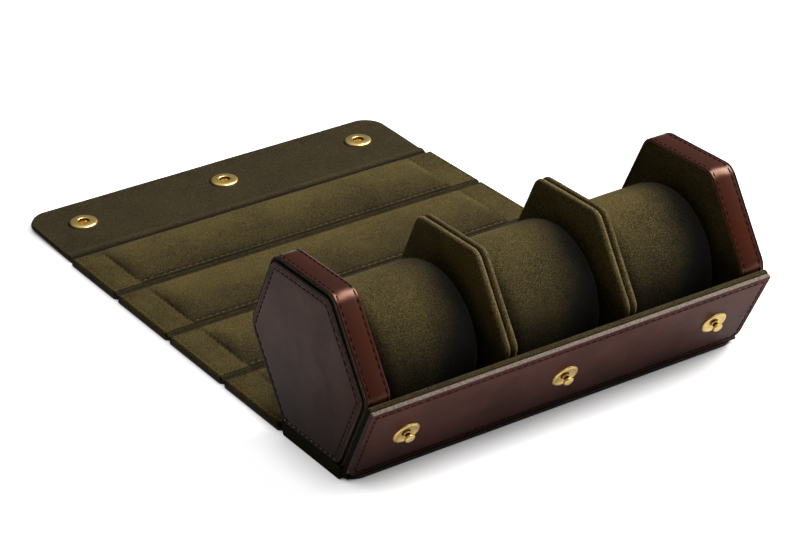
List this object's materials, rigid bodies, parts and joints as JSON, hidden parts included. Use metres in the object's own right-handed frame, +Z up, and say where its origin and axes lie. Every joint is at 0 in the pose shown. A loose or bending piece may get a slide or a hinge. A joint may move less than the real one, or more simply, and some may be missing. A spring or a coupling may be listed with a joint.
{
  "type": "hexagonal watch travel roll",
  "caption": "Hexagonal leather travel roll for watches, open: lift-out cushions between dividers and end caps, and a padded wrap that folds round them and snaps shut.",
  "frame": {"origin": "middle of the underside of the base, on the surface that the roll stands on", "axes": "+X along the roll, from its left end cap to its right one, +Y from the front panel with the studs towards the open wrap and its flap, +Z up"},
  "size_m": [0.21, 0.3345, 0.087],
  "materials": {
    "plum_leather": "smooth, semi-matt",
    "chestnut_leather": "smooth, satin",
    "olive_suede": "brushed nap, matt",
    "dark_suede": "brushed nap, matt",
    "greyboard": "raw",
    "foam": "soft, open-celled",
    "brass": "polished"
  },
  "bodies": {
    "tray": {"base_leather": "plum_leather", "base_board": "greyboard", "base_lining": "olive_suede", "base_end_strips": "dark_suede", "floor_pads": "olive_suede", "front_leather": "plum_leather", "front_board": "greyboard", "front_lining": "olive_suede", "front_fold_filler": "dark_suede", "cap_left_plate": "plum_leather", "cap_left_backing": "dark_suede", "cap_left_core": "greyboard", "cap_left_band": "chestnut_leather", "cap_left_lining": "olive_suede", "cap_right_plate": "plum_leather", "cap_right_backing": "dark_suede", "cap_right_core": "greyboard", "cap_right_band": "chestnut_leather", "cap_right_lining": "olive_suede", "divider_left_outer_cover": "olive_suede", "divider_left_inner_cover": "olive_suede", "divider_left_boards": "greyboard", "divider_right_inner_cover": "olive_suede", "divider_right_outer_cover": "olive_suede", "divider_right_boards": "greyboard", "snap_studs": "brass", "snap_rivets": "brass"},
    "back_lower": {"back_lower_roll": "dark_suede", "back_lower_leather": "plum_leather", "back_lower_board": "greyboard", "back_lower_pad": "foam", "back_lower_lining": "olive_suede"},
    "back_upper": {"back_upper_roll": "dark_suede", "back_upper_leather": "plum_leather", "back_upper_board": "greyboard", "back_upper_pad": "foam", "back_upper_lining": "olive_suede"},
    "top": {"top_roll": "dark_suede", "top_leather": "plum_leather", "top_board": "greyboard", "top_pad": "foam", "top_lining": "olive_suede"},
    "front_upper": {"front_upper_roll": "dark_suede", "front_upper_leather": "plum_leather", "front_upper_board": "greyboard", "front_upper_pad": "foam", "front_upper_lining": "olive_suede", "flap_root_leather": "plum_leather", "flap_root_lining": "olive_suede"},
    "flap": {"flap_leather": "plum_leather", "flap_lining": "olive_suede", "snap_caps": "brass", "snap_sockets": "brass", "snap_springs": "brass"},
    "cushion_left": {"cushion_left_cover": "olive_suede", "cushion_left_core": "foam"},
    "cushion_middle": {"cushion_middle_cover": "olive_suede", "cushion_middle_core": "foam"},
    "cushion_right": {"cushion_right_cover": "olive_suede", "cushion_right_core": "foam"}
  },
  "joints": [
    {"name": "back_lower_fold", "type": "hinge", "parent": "tray", "child": "back_lower", "pos_m": [0, 0.02569, 0.00145], "axis": [1, 0, 0], "range_deg": [0, 60]},
    {"name": "back_upper_fold", "type": "hinge", "parent": "back_lower", "child": "back_upper", "pos_m": [0, 0.07708, 0.00145], "axis": [1, 0, 0], "range_deg": [0, 60]},
    {"name": "top_fold", "type": "hinge", "parent": "back_upper", "child": "top", "pos_m": [0, 0.12846, 0.00145], "axis": [1, 0, 0], "range_deg": [0, 60]},
    {"name": "front_upper_fold", "type": "hinge", "parent": "top", "child": "front_upper", "pos_m": [0, 0.17984, 0.00145], "axis": [1, 0, 0], "range_deg": [0, 60]},
    {"name": "flap_bend", "type": "hinge", "parent": "front_upper", "child": "flap", "pos_m": [0, 0.23712, 0.00145], "axis": [1, 0, 0], "range_deg": [0, 58.03]},
    {"name": "cushion_left_lift", "type": "slide", "parent": "tray", "child": "cushion_left", "axis": [0, 0, 1], "range_m": [0, 0.1]},
    {"name": "cushion_middle_lift", "type": "slide", "parent": "tray", "child": "cushion_middle", "axis": [0, 0, 1], "range_m": [0, 0.1]},
    {"name": "cushion_right_lift", "type": "slide", "parent": "tray", "child": "cushion_right", "axis": [0, 0, 1], "range_m": [0, 0.1]}
  ]
}
